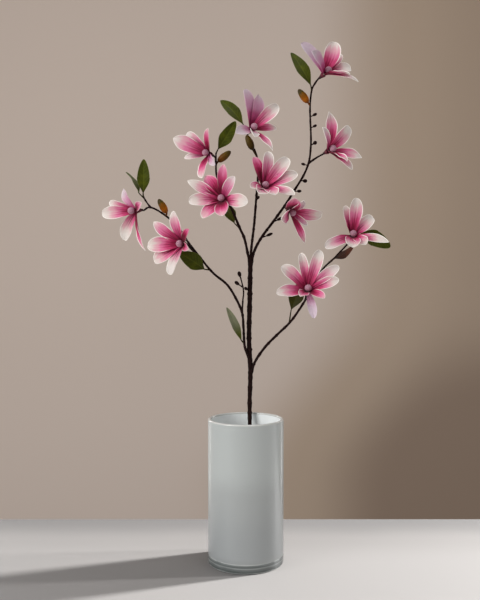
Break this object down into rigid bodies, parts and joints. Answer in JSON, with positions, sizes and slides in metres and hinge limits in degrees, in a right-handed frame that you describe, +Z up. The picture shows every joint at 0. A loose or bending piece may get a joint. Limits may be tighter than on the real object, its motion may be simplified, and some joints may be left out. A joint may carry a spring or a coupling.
{
  "type": "blossom branch in a glass cylinder vase",
  "caption": "Flowering branch with pink and white strap-petalled blossoms, dark stems, green leaves and brown buds, standing in a tall frosted glass cylinder vase.",
  "frame": {"origin": "centre of the vase's underside", "axes": "+Z up along the vase, -Y towards the front of the spray, +X to its right as seen from the front"},
  "size_m": [0.4116, 0.1132, 0.7274],
  "materials": {
    "frosted_glass": "milky frosted body with a clear polished rim and a thick clear floor",
    "bark": "near-black brown bark, matt, with fine ridges",
    "petal": "deep magenta foot and creases fading through pink to near-white tips with a fine white rim",
    "flower_centre": "pinkish grey, finely beaded",
    "calyx": "dark red-brown, matt",
    "leaf": "dark olive green with a paler midrib and a fine light edge",
    "bud": "orange to olive brown, overlapping scales"
  },
  "bodies": {
    "root": {"vase": "frosted_glass", "main_stem": "bark", "shoot_right": "bark", "shoot_left": "bark", "shoot_upper_left": "bark", "shoot_upper_middle": "bark", "shoot_upper_right": "bark", "twig_lower": "bark", "flower_1_petals": "petal", "flower_1_centre": "flower_centre", "flower_1_calyx": "calyx", "flower_2_petals": "petal", "flower_2_centre": "flower_centre", "flower_2_calyx": "calyx", "flower_3_petals": "petal", "flower_3_centre": "flower_centre", "flower_3_calyx": "calyx", "flower_4_petals": "petal", "flower_4_centre": "flower_centre", "flower_4_calyx": "calyx", "flower_5_petals": "petal", "flower_5_centre": "flower_centre", "flower_5_calyx": "calyx", "flower_6_petals": "petal", "flower_6_centre": "flower_centre", "flower_6_calyx": "calyx", "flower_7_petals": "petal", "flower_7_centre": "flower_centre", "flower_7_calyx": "calyx", "flower_8_petals": "petal", "flower_8_centre": "flower_centre", "flower_8_calyx": "calyx", "flower_9_petals": "petal", "flower_9_centre": "flower_centre", "flower_9_calyx": "calyx", "flower_10_petals": "petal", "flower_10_centre": "flower_centre", "flower_10_calyx": "calyx", "flower_11_petals": "petal", "flower_11_centre": "flower_centre", "flower_11_calyx": "calyx", "leaf_top": "leaf", "leaf_upper_middle": "leaf", "leaf_upper_left": "leaf", "leaf_left_tall": "leaf", "leaf_left_edge": "leaf", "leaf_left_low": "leaf", "leaf_right": "leaf", "leaf_stem": "leaf", "leaf_under_flower": "leaf", "leaf_fork": "leaf", "bract_right": "calyx", "bud_top": "bud", "bud_upper_left": "bud", "bud_upper_middle": "bud", "bud_left": "bud"}
  },
  "joints": []
}
